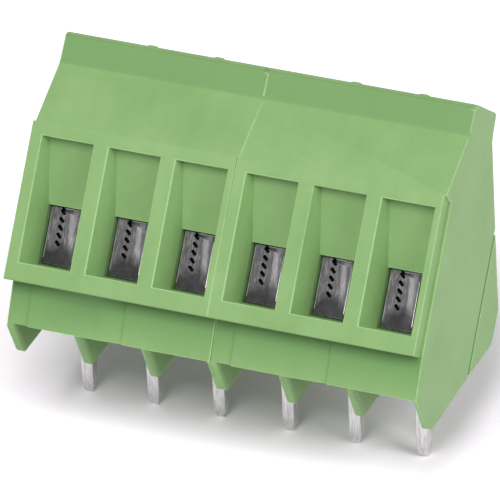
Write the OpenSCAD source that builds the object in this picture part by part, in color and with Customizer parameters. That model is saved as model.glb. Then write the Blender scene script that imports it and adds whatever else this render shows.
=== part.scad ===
// Angled screw terminal for printed circuit boards: two three-position housings side by side.
// X runs along the row, Y from the wire side to the rear, Z up from the board.
// The origin is on the board, at the middle of the line of solder pins.

/* [Row] */
// Distance from one wire position to the next
pitch = 5.08; // [5.00:0.02:5.20]
// Width of one housing beyond its three pitches
width_extra = 0.22; // [0.16:0.02:0.30]

/* [Housing] */
// Lean of the wire face and of the screws from upright, degrees
tilt = 35; // [34:0.5:36]
// Height of the ridge above the board
ridge_h = 20.3; // [20.1:0.1:20.8]
// Distance from the pin line back to the rear wall
rear_y = 8.0; // [7.9:0.1:8.4]
// Distance from the pin line forward to the foot of the wire frame
frame_foot_y = 7.08; // [7.0:0.02:7.14]
// Height of the foot of the wire frame above the board
frame_foot_z = 7.33; // [7.2:0.02:7.4]
// Length of the wire frame, up its slope
frame_len = 11.3; // [11.1:0.1:11.5]
// How far the wire frame stands out from the face below it
frame_proud = 1.28; // [1.2:0.02:1.4]
// Shift of the wire frame towards its left neighbour, over the joint
frame_shift = 0.2; // [0.1:0.02:0.24]
// Height of the lower front edge above the board
skirt_z = 3.9; // [3.8:0.1:4.1]
// Distance from the pin line forward to the lower front edge
skirt_y = 7.5; // [7.4:0.05:7.6]
// Thickness of the rear wall
rear_wall = 1.0; // [0.9:0.1:1.2]
// Thickness of a wall foot that stands on the board
foot_t = 0.56; // [0.5:0.02:0.6]

/* [Wire funnel] */
// Width of the funnel mouth in the frame
mouth_w = 3.95; // [3.8:0.05:4.0]
// Height of the funnel mouth, up the slope
mouth_len = 9.0; // [8.8:0.1:9.1]
// Frame left below the funnel mouth
mouth_sill = 1.35; // [1.2:0.05:1.4]
// Depth of the funnel at the clamp window
funnel_depth = 2.0; // [1.9:0.05:2.05]
// Depth of the funnel at its top edge
funnel_top_depth = 0.85; // [0.7:0.05:1.0]
// Width of the clamp window
window_w = 2.6; // [2.5:0.05:2.7]
// Height of the clamp window, up the slope
window_len = 4.25; // [4.1:0.05:4.3]

/* [Clamp] */
// Width of the clamp sleeve
sleeve_w = 3.7; // [3.6:0.05:3.75]
// Depth of the clamp sleeve, across the slope
sleeve_d = 3.95; // [3.8:0.05:4.0]
// Travel of the sleeve from closed to fully open
sleeve_travel = 4.0; // [3.8:0.1:4.1]
// Height of the sleeve's lower block, up the slope
sleeve_block_len = 4.05; // [4.0:0.05:4.1]
// Width of the tongue in the clamp window
tongue_w = 1.86; // [1.8:0.02:1.96]
// Thread diameter of the clamp screw
screw_d = 2.7; // [2.6:0.1:2.9]
// Head diameter of the clamp screw
head_d = 3.6; // [3.5:0.1:3.7]

/* [Contact] */
// Side of the square solder pin
pin_side = 0.9; // [0.8:0.05:1.0]
// Length of the solder pin below the board face
pin_len = 5.8; // [3.5:0.1:6]
// Thickness of the current bar
bar_t = 0.9; // [0.8:0.05:1.0]
// Width of the current bar inside the sleeve
bar_w = 2.3; // [2.1:0.1:2.4]

/* [Hidden] */

per_housing = 3;
housing_w = per_housing * pitch + width_extra;
sin_t = sin(tilt);
cos_t = cos(tilt);
run = 0.1;            // running clearance beside sliding faces
slip = 0.15;          // wider clearance at corners and ends
past = 1;             // how far a cutter runs past the face it cuts
overlap = 0.01;       // how far cutters that meet run into each other

// Housing profile, as [y, z]
upper_pitch = 25.7;   // rise of the long upper face
upper_turn = 0.8;     // radius between the upper face and the steep facet
facet_y = 3.9;        // where the steep facet under the ridge begins
facet_lean = 39;      // lean of that facet from upright
top_fall = 38.5;      // fall of the screw face behind the ridge
ridge_flat = 0.45;    // width of the ridge
lip_y = rear_y + 0.9; // overhang of the screw face at the rear
lip_drop = 1.2;       // height of the overhang's edge
lip_under = 0.6;      // height of the slope below that edge
heel = 1.5;           // bevel at the foot of the rear wall
heel_z = 1.95;

frame_foot = [-frame_foot_y, frame_foot_z];
frame_top = frame_foot + frame_len * [sin_t, cos_t];
under_frame = frame_foot + frame_proud * [cos_t, -sin_t];
facet_foot = [facet_y, frame_top[1] + (facet_y - frame_top[0]) * tan(upper_pitch)];
ridge_front = [facet_y + (ridge_h - facet_foot[1]) * tan(facet_lean), ridge_h];
ridge_back = ridge_front + [ridge_flat, 0];
lip_top = [lip_y, ridge_h - (lip_y - ridge_back[0]) * tan(top_fall)];
skirt = [-skirt_y, skirt_z];
toe_y = 6.1;          // front of a wall foot, where its nose turns under
toe_z = 0.8;
sole_y = 4.9;         // front end of the flat sole
band_fall = 0.45;     // fall of the wire frame's top from its front to its back

// Depth behind the frame plane and height up it, of a point given as [y, z]
function depth_of(p) = (p[0] - frame_foot[0]) * cos_t - (p[1] - frame_foot[1]) * sin_t;
function rise_of(p) = (p[0] - frame_foot[0]) * sin_t + (p[1] - frame_foot[1]) * cos_t;
// The point [y, z] at a depth behind the frame plane and a rise up it
function at(depth, rise) = frame_foot + [depth * cos_t + rise * sin_t, rise * cos_t - depth * sin_t];
band_top = at(frame_proud, frame_len - band_fall);

// Clamp places, as depths and rises in the leaning frame
window_foot = mouth_sill + 0.12;
window_top = window_foot + window_len;
sleeve_front = funnel_depth + 0.95;
sleeve_back = sleeve_front + sleeve_d;
sleeve_foot = window_foot + slip;
block_top = sleeve_foot + sleeve_block_len;
bar_foot = block_top + run;
bar_top = bar_foot + bar_t;
collar_foot = bar_top + sleeve_travel + slip;
collar_len = 1.5;
collar_top = collar_foot + collar_len;
sleeve_gap = screw_d + run;                // room between the sleeve's side walls
thread_play = 0.08;                        // radial play of the screw in its sleeve
axis_depth = sleeve_front + sleeve_d / 2;  // screw axis
chamber_w = sleeve_w + 2 * run;
chamber_front = sleeve_front - run;
strip_front = sleeve_back + 0.25;
strip_back = strip_front + bar_t;
chamber_top = collar_top + slip;
shoulder_len = 0.6;
head_foot = chamber_top + shoulder_len + run;
head_len = 1.9;
head_bore = head_d / 2 + slip;
head_room = head_foot + head_len + 0.2;
access_d = head_d - 0.1;
tongue_front = funnel_depth + 0.4;
inner_wall = 1.0;                          // leaning wall behind the contact strip
pin_back = pin_side / 2;
skin = frame_shift;                        // thin right wall below the skirt
side_strip_w = 1.6;                        // sunk strips in the skirt
middle_strip_w = 2.06;
sunk = 0.12;
notch_w = 0.35;                            // notch at the right end of the ridge
notch_d = 0.14;
groove_w = 0.34;                           // slanted groove in the right side
groove_depth = 0.25;
rear_groove = 11.5;                        // its depth behind the frame plane
stud_d = 0.9;                              // marker studs
stud_h = 0.4;
stud_inset = 1.2;
stud_shift = 0.15;
tongue_x = (tongue_w - window_w) / 2 + run;  // the tongue runs by the left side of its slot
top_rise = 2 * rise_of(lip_top);           // clear above the screw face

// Places along the row
function centre_of(i) = (floor(i / per_housing) - 0.5) * housing_w
    + (i % per_housing - (per_housing - 1) / 2) * pitch;

// Corner b of the path a-b-c, rounded to radius r with n chords
function rounded(a, b, c, r, n = 6) =
    let (u = (a - b) / norm(a - b), v = (c - b) / norm(c - b),
         half = acos(u * v) / 2, m = (u + v) / norm(u + v),
         o = b + m * r / sin(half), start = b + u * r / tan(half) - o,
         finish = b + v * r / tan(half) - o,
         turn = (start[0] * finish[1] - start[1] * finish[0] > 0 ? 1 : -1) * (180 - 2 * half))
    [for (k = [0 : n]) let (w = turn * k / n)
        o + [start[0] * cos(w) - start[1] * sin(w), start[0] * sin(w) + start[1] * cos(w)]];

// Prism along X of a [y, z] outline
module along_row(x0, x1) {
    translate([x0, 0, 0]) rotate([90, 0, 90]) linear_extrude(x1 - x0) children();
}

// The leaning frame: Y runs in behind the frame plane, Z up its slope
module leaning() {
    translate([0, frame_foot[0], frame_foot[1]]) rotate([-tilt, 0, 0]) children();
}

// Box given by its corners
module block(low, high) {
    translate(low) cube(high - low);
}

// Round bar of radius r from one height to another
module upright(r, low, high) {
    translate([0, 0, low]) cylinder(r = r, h = high - low, $fn = 48);
}

// Outline of a housing behind its frame
module body_outline() {
    lip_foot = [rear_y + 0.25, lip_top[1] - lip_drop];
    rear_top = [rear_y, lip_foot[1] - lip_under];
    rear_foot = [rear_y, heel_z];
    sole_back = [rear_y - heel, 0];
    sole_front = [-sole_y, 0];
    toe = [-toe_y, toe_z];
    polygon(concat(
        [skirt, under_frame, band_top, frame_top],
        rounded(frame_top, facet_foot, ridge_front, upper_turn, 4),
        rounded(facet_foot, ridge_front, ridge_back, 0.3),
        rounded(ridge_front, ridge_back, lip_top, 0.5),
        rounded(ridge_back, lip_top, lip_foot, 0.45),
        [lip_foot, rear_top],
        rounded(rear_top, rear_foot, sole_back, 0.5),
        rounded(rear_foot, sole_back, sole_front, 0.6),
        rounded(sole_back, sole_front, toe, 0.6),
        rounded(sole_front, toe, skirt, 1.1)));
}

// Outline of the wire frame that stands out from the front
module frame_outline() {
    polygon(concat(
        rounded(under_frame, frame_foot, frame_top, 0.12, 3),
        [frame_top, band_top, under_frame]));
}

// Funnel from the mouth in the frame in to the clamp window
module funnel() {
    sill = mouth_sill;
    side = (mouth_w - window_w) / 2 / funnel_depth;  // taper of each side per depth
    intersection() {
        along_row(-pitch, pitch) polygon([
            [-past, sill], [0, sill], [funnel_depth, window_foot], [funnel_depth, window_top],
            [funnel_top_depth, sill + mouth_len], [-past, sill + mouth_len]]);
        linear_extrude(top_rise) polygon([
            [-mouth_w / 2 - side * past, -past], [mouth_w / 2 + side * past, -past],
            [window_w / 2, funnel_depth], [-window_w / 2, funnel_depth]]);
    }
}

// Everything cut out of a housing for one position, about its middle plane
module position_cut() {
    leaning() {
        funnel();
        block([-window_w / 2, funnel_depth - overlap, window_foot],
            [window_w / 2, tongue_front, window_top]);
        // slot for the tongue
        block([-window_w / 2, tongue_front - slip, -2 * skirt_z],
            [window_w / 2, chamber_front + overlap, window_top + slip]);
        // chamber for the sleeve and the contact strip
        block([-chamber_w / 2, chamber_front, -2 * skirt_z],
            [chamber_w / 2, sleeve_back + slip, chamber_top]);
        block([-chamber_w / 2, chamber_front, -2 * skirt_z], [chamber_w / 2, strip_back, bar_top]);
        // bore for the screw, pocket for its head and access hole
        translate([0, axis_depth, 0]) {
            upright(screw_d / 2 + slip, chamber_top - past, head_foot);
            upright(head_bore, head_foot - run, head_room);
            upright(access_d / 2, head_foot, top_rise);
        }
    }
    rear_cavity();
}

// Hollow behind the leaning wall, open towards the board
module rear_cavity() {
    wall = strip_back + inner_wall;
    inner_y = rear_y - rear_wall;
    apex_rise = (inner_y - frame_foot[0] - wall * cos_t) / sin_t;
    foot_rise = (skirt_z - past - frame_foot[1] + wall * sin_t) / cos_t;
    along_row(-chamber_w / 2, chamber_w / 2)
        polygon([at(wall, foot_rise), at(wall, apex_rise), [inner_y, skirt_z - past]]);
}

// Opening under the skirt between two wall feet, from x0 to x1
module foot_gap(x0, x1) {
    along_row(x0, x1) polygon([[-2 * skirt_y, -past], [rear_y - rear_wall, -past],
        [rear_y - rear_wall, skirt_z], [-2 * skirt_y, skirt_z]]);
}

// Knife edge and turned nose of a wall foot whose right face is at x
module foot_edge(x) {
    nose = 0.45;
    blade = foot_t - 0.1;
    slope = atan2(skirt_y - toe_y, skirt_z - toe_z);
    along_blade = rear_y + skirt_y;
    translate([0, rear_y - rear_wall, 0]) rotate([90, 0, 0]) linear_extrude(along_blade)
        polygon([[x - blade, -past], [x - blade, 0], [x, toe_z], [x + past, toe_z], [x + past, -past]]);
    // the nose ends at the underside of the skirt
    intersection() {
        translate([x - nose, -toe_y, toe_z]) rotate([slope, 0, 0]) translate([0, 0, -past])
            linear_extrude(norm([skirt_y - toe_y, skirt_z - toe_z]) + 2 * past) difference() {
                translate([0, -past]) square([nose + past, past + nose]);
                translate([0, nose]) circle(r = nose, $fn = 48);
            }
        block([x - foot_t, -2 * skirt_y, -past], [x + past, 0, skirt_z]);
    }
}

// Small domed stud for marker strips on the screw face, above a partition wall
module marker_stud() {
    round_r = 0.25;
    edge = stud_d / 2;
    leaning() translate([stud_shift, depth_of(lip_top) - stud_inset, rise_of(lip_top)])
        rotate_extrude($fn = 32) polygon(concat(
            [[0, -past], [edge, -past]],
            rounded([edge, -past], [edge, stud_h], [0, stud_h], round_r, 4),
            [[0, stud_h]]));
}

// Strip of the skirt's front face between x0 and x1, sunk by a depth at each side
module sunk_strip(x0, x1, sunk_left, sunk_right) {
    lean = atan2(skirt_y + under_frame[0], under_frame[1] - skirt_z);
    length = norm(under_frame - skirt);
    translate([0, skirt[0], skirt[1]]) rotate([-lean, 0, 0]) translate([0, 0, -past])
        linear_extrude(length + past)
            polygon([[x0, -past], [x1, -past], [x1, sunk_right], [x0, sunk_left]]);
}

// Plain body of a housing with its sunk strips, before its openings are cut
module body() {
    difference() {
        along_row(0, housing_w) body_outline();
        sunk_strip(-past, side_strip_w, sunk, sunk);
        sunk_strip((housing_w - middle_strip_w) / 2, (housing_w + middle_strip_w) / 2, 0, sunk);
    }
}

// Left edge of wall i of a housing, counted from its left side
function wall_x(i) = i == 0 ? 0 : housing_w / 2 + (i - per_housing / 2) * pitch;

// One housing for three positions, from its left side at x = 0
module housing_shape() {
    difference() {
        union() {
            body();
            along_row(-frame_shift, housing_w - frame_shift) frame_outline();
            for (i = [1 : per_housing - 1])
                translate([wall_x(i), 0, 0]) marker_stud();
        }
        for (i = [0 : per_housing - 1])
            translate([housing_w / 2 + (i - (per_housing - 1) / 2) * pitch, 0, 0]) position_cut();
        for (i = [0 : per_housing - 1]) {
            foot_right = wall_x(i) + foot_t;
            next_left = i == per_housing - 1 ? housing_w - skin : wall_x(i + 1);
            foot_gap(foot_right, next_left);
            foot_edge(foot_right);
        }
        translate([housing_w - groove_depth, 0, 0]) leaning()
            block([0, rear_groove, -2 * skirt_y], [past, rear_groove + groove_w, 2 * skirt_y]);
        // notch in the ridge at the joint
        translate([housing_w - notch_w, ridge_front[0] - past, ridge_h - notch_d])
            cube([notch_w + past, ridge_flat + 2 * past, notch_d + past]);
    }
}

module housing_left() {
    color([0.55, 0.74, 0.46]) translate([-housing_w, 0, 0]) housing_shape();
}

module housing_right() {
    color([0.55, 0.74, 0.46]) housing_shape();
}

// Current bar, strip and solder pin, bent from one piece
module contact(i) {
    bar_front = sleeve_front + run;
    front_z = frame_foot_z + ((-pin_back - frame_foot[0]) * cos_t - strip_front) / sin_t;
    back_z = frame_foot_z + ((pin_back - frame_foot[0]) * cos_t - strip_back) / sin_t;
    tip = [0.16, 0.3, 0.4];                        // half widths of the rounded tip
    rise = [-pin_len, 0.12 - pin_len, 0.5 - pin_len, 1.2 - pin_len];
    color([0.8, 0.8, 0.78]) translate([centre_of(i), 0, 0]) {
        // strip that leans between the partition walls
        along_row(-chamber_w / 2, chamber_w / 2)
            polygon([at(strip_front, rise_of([-pin_back, front_z])), at(strip_front, bar_top),
                at(strip_back, bar_top), at(strip_back, rise_of([pin_back, back_z]))]);
        // bar through the sleeve
        leaning() block([-bar_w / 2, bar_front, bar_foot], [bar_w / 2, strip_back, bar_top]);
        // solder pin
        intersection() {
            along_row(-pin_side / 2, pin_side / 2) pin_outline(tip, rise, back_z, front_z);
            rotate([90, 0, 0]) linear_extrude(2 * pin_side, center = true)
                pin_outline(tip, rise, front_z + past, front_z + past);
        }
    }
}

// Outline of a pin with a rounded tip, its top at one height on each side
module pin_outline(tip, rise, right_top, left_top) {
    half = concat(tip, pin_side / 2);
    polygon(concat(
        [for (k = [0 : 3]) [half[k], rise[k]]],
        [[pin_side / 2, right_top], [-pin_side / 2, left_top]],
        [for (k = [3 : -1 : 0]) [-half[k], rise[k]]]));
}

// Clamp sleeve that rises round the current bar, drawn closed
module sleeve(i) {
    slot_count = 5;
    slot_step = 0.56;
    slot_foot = 1.5;      // lowest slot above the tongue's foot
    slot_lean = 42;
    slot_depth = 0.4;
    side = (sleeve_w - sleeve_gap) / 2;
    color([0.42, 0.42, 0.44]) translate([centre_of(i), 0, 0]) leaning() difference() {
        union() {
            block([-sleeve_w / 2, sleeve_front, sleeve_foot], [sleeve_w / 2, sleeve_back, collar_top]);
            translate([tongue_x, sleeve_front, 0]) rotate([90, 0, 0])
                linear_extrude(sleeve_front - tongue_front) tongue_outline();
        }
        // room for the current bar and the wire
        block([-sleeve_w / 2 + side, sleeve_front - past, block_top],
            [sleeve_w / 2 - side, sleeve_back + past, collar_foot]);
        translate([0, axis_depth, 0])
            upright(screw_d / 2 + thread_play, collar_foot - past, collar_top + past);
        // stamped slots in the tongue
        for (k = [0 : slot_count - 1])
            translate([tongue_x, tongue_front + slot_depth, sleeve_foot + slot_foot + k * slot_step])
                rotate([90, 0, 0]) rotate([0, 0, -slot_lean]) linear_extrude(past) slot_outline();
    }
}

// Face of the tongue, with round lower corners and a slanted top edge
module tongue_outline() {
    corner = 0.28;
    step = 0.2;           // short drop where the slanted part begins
    fall = 0.5;           // fall of the top edge from there to the right
    right = tongue_w / 2;
    polygon(concat(
        rounded([right, block_top], [right, sleeve_foot], [-right, sleeve_foot], corner),
        rounded([right, sleeve_foot], [-right, sleeve_foot], [-right, block_top], corner),
        [[-right, block_top], [-step, block_top], [0, block_top - step], [right, block_top - fall]]));
}

// Oval of one stamped slot
module slot_outline() {
    slot_w = 0.25;
    for (side = [-1, 1]) translate([side * slot_w / 2, 0]) circle(d = slot_w, $fn = 24);
    square(slot_w, center = true);
}

// Clamp screw, its tip resting on the current bar
module screw(i) {
    tip = bar_top + 0.02;
    head_top = head_foot + head_len;
    slot_w = 0.7;
    slot_depth = 1;
    color([0.75, 0.75, 0.75]) translate([centre_of(i), 0, 0]) leaning()
        translate([0, axis_depth, 0]) difference() {
            union() {
                upright(screw_d / 2, tip, head_top);
                upright(head_d / 2, head_foot, head_top);
            }
            block([-head_d, -slot_w / 2, head_top - slot_depth], [head_d, slot_w / 2, head_top + past]);
        }
}

housing_left();
housing_right();
contact(0);  // contact_1
contact(1);  // contact_2
contact(2);  // contact_3
contact(3);  // contact_4
contact(4);  // contact_5
contact(5);  // contact_6
sleeve(0);  // sleeve_1
sleeve(1);  // sleeve_2
sleeve(2);  // sleeve_3
sleeve(3);  // sleeve_4
sleeve(4);  // sleeve_5
sleeve(5);  // sleeve_6
screw(0);  // screw_1
screw(1);  // screw_2
screw(2);  // screw_3
screw(3);  // screw_4
screw(4);  // screw_5
screw(5);  // screw_6
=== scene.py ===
import math

import bmesh
import bpy
from mathutils import Matrix, Vector


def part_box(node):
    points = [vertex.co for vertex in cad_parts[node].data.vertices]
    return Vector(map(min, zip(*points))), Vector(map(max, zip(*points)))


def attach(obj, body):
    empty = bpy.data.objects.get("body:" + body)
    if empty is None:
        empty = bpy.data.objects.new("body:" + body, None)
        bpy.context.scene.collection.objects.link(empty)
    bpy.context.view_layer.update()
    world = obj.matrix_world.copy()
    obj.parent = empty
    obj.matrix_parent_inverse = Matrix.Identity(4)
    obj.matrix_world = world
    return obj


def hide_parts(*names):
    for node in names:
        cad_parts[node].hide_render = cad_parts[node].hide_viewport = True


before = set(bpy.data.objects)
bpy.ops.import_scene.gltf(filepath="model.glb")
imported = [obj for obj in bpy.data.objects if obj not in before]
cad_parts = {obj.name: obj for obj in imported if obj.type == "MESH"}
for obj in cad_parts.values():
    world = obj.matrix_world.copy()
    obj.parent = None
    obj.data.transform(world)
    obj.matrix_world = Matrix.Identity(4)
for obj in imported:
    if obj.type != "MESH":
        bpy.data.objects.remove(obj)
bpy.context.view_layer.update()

MM = 0.001
TILT = math.radians(35)
BOARD_FLOOR = -5.8 * MM       # the pins stand on the paper
LAMP_REACH = 700 * MM
LAMP_AIM = Vector((0.0, 0.0, 8.0)) * MM
WHITE = (1.0, 1.0, 1.0, 1.0)
MIRRORED = ("Is Glossy Ray", "Is Transmission Ray")

# where the darker tone by the ridge and the painted shade on the skirt under the frame band begin
# and end, in millimetres
FACET_FOOT, FACET_BACK = 18.75, 5.35
SKIRT_MIDDLE, SKIRT_TOP, SKIRT_BACK = 5.0, 6.75, -5.9

# the tongue's painted reflection and painted highlight, and the painted shade in its slots, in
# millimetres up from its foot and in from its face
REFLECTION_LINE, GLEAM_PLACE = 1.35, 0.85
SLOT_IN, SLOT_OUT = 0.10, 0.50


# ---------------------------------------------------------------- shader maths


class Signal:
    """A socket that answers to Python's arithmetic with Math nodes."""

    def __init__(self, finish, socket):
        self.finish = finish
        self.socket = socket

    def _math(self, operation, *values):
        node = self.finish.node("ShaderNodeMath", {"operation": operation}, dict(enumerate(values)))
        return Signal(self.finish, node.outputs[0])

    def __add__(self, other):
        return self._math("ADD", self, other)

    def __sub__(self, other):
        return self._math("SUBTRACT", self, other)

    def __rsub__(self, other):
        return self._math("SUBTRACT", other, self)

    def __mul__(self, other):
        return self._math("MULTIPLY", self, other)

    def at_most(self, other):
        return self._math("MINIMUM", self, other)

    def at_least(self, other):
        return self._math("MAXIMUM", self, other)

    def clamped(self):
        return self.at_least(0.0).at_most(1.0)

    def above(self, level, softness):
        """0 well below the level, 1 well above it."""
        return ((self - level) * (1.0 / softness) + 0.5).clamped()


class Finish:
    """One material, with its nodes made by one method."""

    def __init__(self, name):
        self.material = bpy.data.materials.new(name)
        self.material.use_nodes = True
        self.tree = self.material.node_tree
        self.tree.nodes.clear()
        self.output = self.node("ShaderNodeOutputMaterial")

    def node(self, kind, settings=None, sockets=None):
        made = self.tree.nodes.new(kind)
        for key, value in (settings or {}).items():
            setattr(made, key, value)
        for key, value in (sockets or {}).items():
            source = value.socket if isinstance(value, Signal) else value
            if isinstance(source, bpy.types.NodeSocket):
                self.tree.links.new(source, made.inputs[key])
            elif isinstance(source, tuple) and len(source) == 3 and made.inputs[key].type == "RGBA":
                made.inputs[key].default_value = (*source, 1.0)
            else:
                made.inputs[key].default_value = source
        return made

    def place(self, scale=(1.0, 1.0, 1.0), turn=(0.0, 0.0, 0.0)):
        """Object coordinates in millimetres, turned and stretched."""
        source = self.node("ShaderNodeTexCoord").outputs["Object"]
        in_mm = tuple(s / MM for s in scale)
        mapping = self.node("ShaderNodeMapping", {"vector_type": "POINT"},
                            {"Vector": source, "Rotation": turn, "Scale": in_mm})
        return mapping.outputs["Vector"]

    def noise(self, where, scale, detail, roughness):
        made = self.node("ShaderNodeTexNoise", {"noise_dimensions": "3D"},
                         {"Vector": where, "Scale": scale, "Detail": detail,
                          "Roughness": roughness})
        return Signal(self, made.outputs["Fac"])

    def axes(self, where):
        made = self.node("ShaderNodeSeparateXYZ", None, {0: where})
        return [Signal(self, socket) for socket in made.outputs]

    def attribute(self, name):
        made = self.node("ShaderNodeAttribute", {"attribute_name": name})
        return Signal(self, made.outputs["Fac"])

    def mix(self, factor, first, second):
        """The first colour at 0, the second at 1."""
        made = self.node("ShaderNodeMix", {"data_type": "RGBA"},
                         {0: factor, 6: first, 7: second})
        return made.outputs[2]

    def bump(self, height, distance, strength):
        made = self.node("ShaderNodeBump", None,
                         {"Height": height, "Distance": distance, "Strength": strength})
        return made.outputs["Normal"]

    def surface(self, sockets):
        shader = self.node("ShaderNodeBsdfPrincipled", None, sockets)
        self.tree.links.new(shader.outputs[0], self.output.inputs["Surface"])
        return self.material


# ---------------------------------------------------------------- camera


def set_camera():
    target = Vector((1.7896, -3.6051, 11.1764)) * MM
    azimuth, elevation, roll = (math.radians(a) for a in (24.204, 32.4254, -2.9538))
    distance = 607.057 * MM
    back = Vector((math.sin(azimuth) * math.cos(elevation),
                   -math.cos(azimuth) * math.cos(elevation), math.sin(elevation)))
    right = Vector((math.cos(azimuth), math.sin(azimuth), 0.0))
    up = back.cross(right)
    right, up = (math.cos(roll) * right + math.sin(roll) * up,
                 math.cos(roll) * up - math.sin(roll) * right)
    data = bpy.data.cameras.new("camera")
    data.sensor_width = 36.0
    data.lens = 630.75
    data.clip_start = 0.05
    data.clip_end = 20.0
    camera = bpy.data.objects.new("camera", data)
    camera.matrix_world = Matrix.Translation(target + back * distance) @ Matrix(
        (right, up, back)).transposed().to_4x4()
    bpy.context.scene.collection.objects.link(camera)
    bpy.context.scene.camera = camera


# ---------------------------------------------------------------- studio


def white_paper():
    """White paper that takes the object's shadow, at full white where it is looked at."""
    paper = Finish("white_paper")
    rays = paper.node("ShaderNodeLightPath")
    seen = Signal(paper, rays.outputs["Is Camera Ray"])
    for mirrored in MIRRORED:
        seen = seen.at_least(Signal(paper, rays.outputs[mirrored]))
    tone = paper.mix(seen, (0.95, 0.95, 0.955), (1.30, 1.24, 1.31))
    diffuse = paper.node("ShaderNodeBsdfDiffuse", None, {"Color": tone})
    paper.tree.links.new(diffuse.outputs[0], paper.output.inputs["Surface"])
    return paper.material


def make_floor():
    mesh = bpy.data.meshes.new("floor")
    shape = bmesh.new()
    bmesh.ops.create_grid(shape, x_segments=1, y_segments=1, size=4.0)
    bmesh.ops.translate(shape, vec=(0.0, 0.0, BOARD_FLOOR), verts=shape.verts)
    shape.to_mesh(mesh)
    shape.free()
    mesh.materials.append(white_paper())
    floor = bpy.data.objects.new("floor", mesh)
    bpy.context.scene.collection.objects.link(floor)


def soft_box(name, azimuth, elevation, size, level):
    """Square lamp aimed at the object. Level 1 lights a face turned to it at full tone."""
    turn, rise = math.radians(azimuth), math.radians(elevation)
    way = Vector((math.sin(turn) * math.cos(rise), -math.cos(turn) * math.cos(rise),
                  math.sin(rise)))
    data = bpy.data.lights.new(name, "AREA")
    data.shape = "SQUARE"
    data.size = size
    data.energy = level * (math.pi * LAMP_REACH) ** 2
    lamp = bpy.data.objects.new(name, data)
    lamp.location = LAMP_AIM + way * LAMP_REACH
    lamp.rotation_euler = (-way).to_track_quat("-Z", "Y").to_euler()
    bpy.context.scene.collection.objects.link(lamp)


def set_world(strength):
    """Soft even light of this strength, plain white where it is looked at or mirrored."""
    world = bpy.data.worlds.new("studio")
    world.use_nodes = True
    tree = world.node_tree
    tree.nodes.clear()
    rays = tree.nodes.new("ShaderNodeLightPath")
    soft = tree.nodes.new("ShaderNodeBackground")
    soft.inputs["Color"].default_value = WHITE
    soft.inputs["Strength"].default_value = strength
    white = tree.nodes.new("ShaderNodeBackground")
    white.inputs["Color"].default_value = WHITE
    white.inputs["Strength"].default_value = 1.0
    seen = rays.outputs["Is Camera Ray"]
    for mirrored in MIRRORED:
        either = tree.nodes.new("ShaderNodeMath")
        either.operation = "MAXIMUM"
        tree.links.new(seen, either.inputs[0])
        tree.links.new(rays.outputs[mirrored], either.inputs[1])
        seen = either.outputs[0]
    pick = tree.nodes.new("ShaderNodeMixShader")
    out = tree.nodes.new("ShaderNodeOutputWorld")
    tree.links.new(seen, pick.inputs[0])
    tree.links.new(soft.outputs[0], pick.inputs[1])
    tree.links.new(white.outputs[0], pick.inputs[2])
    tree.links.new(pick.outputs[0], out.inputs[0])
    bpy.context.scene.world = world


bpy.context.scene.view_settings.view_transform = "Standard"
set_camera()
make_floor()
set_world(0.19)
# azimuth runs from the wire side, 90 at the right end
soft_box("above_front", 4, 56, 0.38, 0.80)
soft_box("right", 78, 30, 0.35, 0.46)


# ---------------------------------------------------------------- finishes


def green_polyamide():
    """Satin moulded plastic: cloudy tone, fine grain, a darker tone on the steep facet by the
    ridge, painted shade on the skirt under the frame band and a painted highlight on the rounded
    edges.
    """
    finish = Finish("green_polyamide")
    where = finish.place()
    cloud = finish.noise(where, 0.22, 3.0, 0.55)
    flow = finish.noise(finish.place((1.0, 0.25, 0.25)), 0.9, 3.0, 0.6)
    speck = finish.noise(where, 3.0, 4.0, 0.6)
    grain = finish.noise(where, 11.0, 3.0, 0.6)
    tone = (cloud - 0.5) * 1.1 + (flow - 0.5) * 0.55 + (speck - 0.5) * 0.45
    colour = finish.mix((tone + 0.5).clamped(), (0.190, 0.345, 0.120), (0.268, 0.430, 0.180))
    _, back, up = finish.axes(where)
    # darker tone on the steep facet by the ridge
    facet = up.above(FACET_FOOT, 0.12) * (1.0 - back.above(FACET_BACK, 0.2))
    # painted shade: the skirt darkens towards its top, under the frame band
    skirt_shade = (up.above(SKIRT_MIDDLE, 2.8) * (1.0 - up.above(SKIRT_TOP, 0.15))
             * (1.0 - back.above(SKIRT_BACK, 0.2)))
    skirt_shade_and_facet_tone = (facet * 0.75 + skirt_shade * 1.15 + (speck - 0.5) * 0.1) * finish.attribute("front")
    colour = finish.mix(skirt_shade_and_facet_tone.clamped(), colour, (0.146, 0.285, 0.100))
    # painted highlight: the rounded edges are painted paler
    edge = finish.attribute("rim") * (speck * 1.1)
    colour = finish.mix(edge.clamped(), colour, (0.36, 0.58, 0.26))
    rough = (speck - 0.5) * 0.18 + 0.46
    normal = finish.bump(grain, 0.010 * MM, 0.3)
    return finish.surface({"Base Color": colour, "Roughness": rough, "Normal": normal,
                           "IOR": 1.5, "Specular IOR Level": 0.22})


def tin_plate():
    """Dull tin on the pins: pale, with fine lengthwise scratches and grey clouds."""
    finish = Finish("tin_plate")
    streak = finish.noise(finish.place((1.0, 1.0, 0.12)), 7.0, 4.0, 0.7)
    cloud = finish.noise(finish.place(), 1.4, 3.0, 0.6)
    shade = streak.above(0.46, 0.30) * 0.7 + cloud * 0.3
    colour = finish.mix(shade.clamped(), (0.40, 0.39, 0.40), (0.80, 0.79, 0.79))
    rough = streak * 0.25 + 0.24
    normal = finish.bump(streak, 0.02 * MM, 0.5)
    return finish.surface({"Base Color": colour, "Metallic": 0.9, "Roughness": rough,
                           "Normal": normal})


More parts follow.
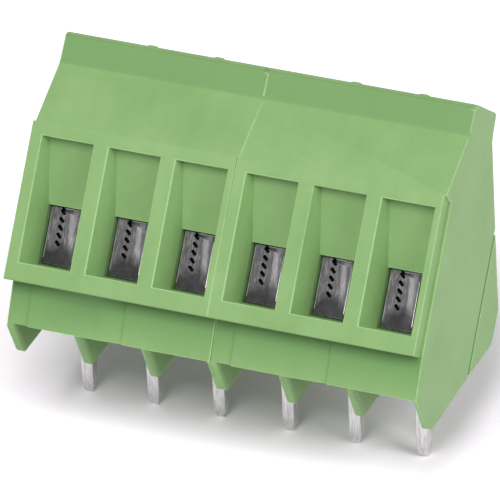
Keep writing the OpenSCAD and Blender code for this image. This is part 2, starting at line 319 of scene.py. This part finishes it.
def sleeve_steel():
    """Stamped steel with scratches: a painted reflection bright above and dark below a bowed line,
    a painted highlight near the right edge and on the rounded edges, painted shade in the slots.
    """
    finish = Finish("sleeve_steel")
    where = finish.place(turn=(TILT, 0.0, 0.0))
    cloud = finish.noise(where, 0.8, 4.0, 0.6)
    scratch = finish.noise(finish.place((5.0, 1.0, 0.5), (TILT, 0.5, 0.0)), 2.0, 4.0, 0.7)
    across = finish.attribute("across")
    height = finish.attribute("height")
    sunk = finish.attribute("sunk")
    # painted reflection: bright above a bowed line and dark below it; faces set well back from the
    # tongue's face stay bright
    bowed = height + across * across * 0.5 + (cloud - 0.5) * 1.6
    bright_reflection = bowed.above(REFLECTION_LINE, 0.9).at_least(sunk.above(0.30, 0.20))
    # painted highlight in a band near the tongue's right edge, above its lowest millimetre
    side = across + height * 0.1 - GLEAM_PLACE
    gleam = (side * side * -14.0 + 1.0).clamped() * (height - 1.0).clamped()
    # the dark end stands for the painted dark reflection; scratches show only where the painted
    # reflection is bright
    tone = (bright_reflection * 0.15 + scratch.above(0.56, 0.10) * 0.30 * bright_reflection + gleam * 0.42
            + (cloud - 0.4) * 0.25)
    colour = finish.mix(tone.clamped(), (0.026, 0.024, 0.026), (0.35, 0.335, 0.35))
    # painted highlight: the rounded edges are painted near white
    edge = finish.attribute("rim") * (scratch * 1.2 + 0.3)
    colour = finish.mix(edge.clamped(), colour, (0.86, 0.85, 0.82))
    # painted shade: slot insides between these depths behind the tongue's face are painted near
    # black, and made rougher
    painted_slot_shade = sunk.above(SLOT_IN, 0.10) * (1.0 - sunk.above(SLOT_OUT, 0.04))
    colour = finish.mix(painted_slot_shade, colour, (0.006, 0.006, 0.006))
    rough = scratch * 0.25 + 0.30 + painted_slot_shade * 0.4
    normal = finish.bump(scratch, 0.01 * MM, 0.5)
    return finish.surface({"Base Color": colour, "Metallic": 0.75, "Roughness": rough,
                           "Normal": normal})


def zinc_steel():
    """Zinc plate on the screws: even grey with faint clouds."""
    finish = Finish("zinc_steel")
    where = finish.place()
    cloud = finish.noise(where, 2.0, 3.0, 0.6)
    colour = finish.mix(cloud, (0.48, 0.48, 0.47), (0.68, 0.68, 0.66))
    rough = cloud * 0.2 + 0.25
    return finish.surface({"Base Color": colour, "Metallic": 1.0, "Roughness": rough})


# ---------------------------------------------------------------- pieces


def joined(node):
    """Copy of a CAD node's mesh as one closed skin with whole flat faces."""
    shape = bmesh.new()
    shape.from_mesh(node.data)
    shape.faces.layers.float.new("rim")
    shape.faces.layers.float.new("front")
    shape.verts.layers.float.new("across")
    shape.verts.layers.float.new("height")
    shape.verts.layers.float.new("sunk")
    bmesh.ops.remove_doubles(shape, verts=shape.verts, dist=SAME_PLACE)
    bmesh.ops.dissolve_limit(shape, angle_limit=math.radians(FLAT_WITHIN), verts=shape.verts,
                             edges=shape.edges)
    return shape


def narrow(face, width):
    """True for a sliver, which a rounding of this width would fold over."""
    longest = max(edge.calc_length() for edge in face.edges)
    return face.calc_area() < ROOM_NEEDED * width * longest


def ridges(shape, least, width):
    """Outward edges of more than least degrees whose two faces have room for the width."""
    return [e for e in shape.edges if len(e.link_faces) == 2 and e.is_convex
            and e.calc_face_angle(0.0) > math.radians(least)
            and not any(narrow(face, width) for face in e.link_faces)]


def soften(shape, edges, width):
    """Round the edges, mark the new faces in the rim layer for the painted edge highlight, and stay
    inside the old box.
    """
    low = [min(v.co[k] for v in shape.verts) for k in range(3)]
    high = [max(v.co[k] for v in shape.verts) for k in range(3)]
    made = bmesh.ops.bevel(shape, geom=edges, offset=width, offset_type="OFFSET",
                           segments=2, profile=0.5, affect="EDGES",
                           clamp_overlap=False, material=-1, loop_slide=True)
    for vert in made["verts"]:
        vert.co = [min(max(vert.co[k], low[k]), high[k]) for k in range(3)]
    rim = shape.faces.layers.float["rim"]
    for face in made["faces"]:
        face[rim] = 1.0
    bmesh.ops.connect_verts_nonplanar(shape, angle_limit=math.radians(2), faces=shape.faces)


def mark_front(shape):
    """Mark the faces turned to the wire side, which carry the darker tone by the ridge and the
    painted shade under the frame band.
    """
    front = shape.faces.layers.float["front"]
    shape.normal_update()
    for face in shape.faces:
        face[front] = float(face.normal.y < -0.2 and abs(face.normal.x) < 0.5)


def groove_floor(end):
    """Thin floor of the slanted groove, which is cut deeper than the end wall is thick."""
    shape = bmesh.new()
    bmesh.ops.create_cube(shape, size=1.0)
    bmesh.ops.scale(shape, vec=GROOVE_FLOOR_SIZE * MM, verts=shape.verts)
    bmesh.ops.rotate(shape, matrix=Matrix.Rotation(-TILT, 3, "X"), verts=shape.verts)
    bmesh.ops.translate(shape, vec=Vector((end / MM - GROOVE_FLOOR_IN, 3.4, 1.95)) * MM,
                        verts=shape.verts)
    bmesh.ops.bisect_plane(shape, geom=[*shape.verts, *shape.edges, *shape.faces],
                           plane_co=(0.0, 0.0, CLEAR_OF_BOARD), plane_no=(0.0, 0.0, 1.0),
                           clear_inner=True)
    bmesh.ops.holes_fill(shape, edges=shape.edges)
    return shape


def piece(name, shape, material, body, stands_for=None, flat=False):
    """Finish a mesh as a piece that rides on a body and may stand for a CAD node."""
    mesh = bpy.data.meshes.new(name)
    shape.to_mesh(mesh)
    shape.free()
    mesh.materials.append(material)
    made = bpy.data.objects.new(name, mesh)
    bpy.context.scene.collection.objects.link(made)
    if not flat:
        mesh.shade_smooth()
        mesh.set_sharp_from_angle(angle=math.radians(25))
        even = made.modifiers.new("even_shading", "WEIGHTED_NORMAL")
        even.keep_sharp = True
    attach(made, body)
    if stands_for:
        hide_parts(stands_for)


def up_slope(place):
    """Height of a place up the slope of the wire face."""
    return place.y * math.sin(TILT) + place.z * math.cos(TILT)


def behind_slope(place):
    """Depth of a place behind the slope of the wire face."""
    return place.y * math.cos(TILT) - place.z * math.sin(TILT)


FLAT_WITHIN = 0.6             # degrees between faces that count as one flat face
SAME_PLACE = 0.001 * MM
ROOM_NEEDED = 2.5             # least width of a face, in widths of the rounding beside it
GROOVE_FLOOR_SIZE = Vector((0.058, 0.50, 5.2))
GROOVE_FLOOR_IN = 0.169       # its middle, in from the end wall's outside
CLEAR_OF_BOARD = 0.02 * MM
TONGUE_RIGHT = 0.34 * MM      # past this, a place belongs to the tongue's right edge
EDGE_ROUND = 0.07 * MM
SLEEVE_ROUND = 0.08 * MM
SLOT_REACH = 0.62 * MM        # the stamped slots lie within this of the tongue's middle
TONGUE_DEPTH = 0.5 * MM       # how far behind the tongue's face its edges reach
TONGUE_WIDEN = 0.46 * MM      # the tongue's right edge moves out to its slot

polyamide = green_polyamide()
tin = tin_plate()
steel = sleeve_steel()
zinc = zinc_steel()

for side in ("left", "right"):
    name = "housing_" + side
    shape = joined(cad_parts[name])
    soften(shape, ridges(shape, 32, EDGE_ROUND), EDGE_ROUND)
    mark_front(shape)
    piece("moulded_" + name, shape, polyamide, "root", name)

end_wall = max(corner[0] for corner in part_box("housing_right"))
piece("groove_floor", groove_floor(end_wall), polyamide, "root")

for number in range(1, 7):
    name = f"contact_{number}"
    shape = joined(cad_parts[name])
    soften(shape, ridges(shape, 32, EDGE_ROUND), EDGE_ROUND)
    piece("tinned_" + name, shape, tin, "root", name)

    # the six sleeves are alike, so one skin is moved along the row
    name = f"sleeve_{number}"
    shape = joined(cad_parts["sleeve_4"])
    along = (min(corner[0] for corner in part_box(name))
             - min(corner[0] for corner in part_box("sleeve_4")))
    bmesh.ops.translate(shape, vec=(along, 0.0, 0.0), verts=shape.verts)
    middle = sum(corner.x for corner in map(Vector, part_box(name))) / 2
    face = min(behind_slope(v.co) for v in shape.verts)
    foot = min(up_slope(v.co) for v in shape.verts)
    for vert in shape.verts:
        if behind_slope(vert.co) < face + TONGUE_DEPTH and vert.co.x > middle + TONGUE_RIGHT:
            vert.co.x += TONGUE_WIDEN
    rims = [edge for edge in ridges(shape, 60, SLEEVE_ROUND)
            if all(behind_slope(v.co) > face + TONGUE_DEPTH or abs(v.co.x - middle) > SLOT_REACH
                   or up_slope(v.co) < foot + SLOT_REACH for v in edge.verts)]
    soften(shape, rims, SLEEVE_ROUND)
    across = shape.verts.layers.float["across"]
    height = shape.verts.layers.float["height"]
    sunk = shape.verts.layers.float["sunk"]
    for vert in shape.verts:
        vert[across] = (vert.co.x - middle) / MM
        vert[height] = (up_slope(vert.co) - foot) / MM
        vert[sunk] = (behind_slope(vert.co) - face) / MM
    piece("steel_" + name, shape, steel, name, name, flat=True)

    name = f"screw_{number}"
    shape = joined(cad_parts[name])
    soften(shape, ridges(shape, 40, SLEEVE_ROUND), SLEEVE_ROUND)
    piece("zinc_" + name, shape, zinc, name, name)
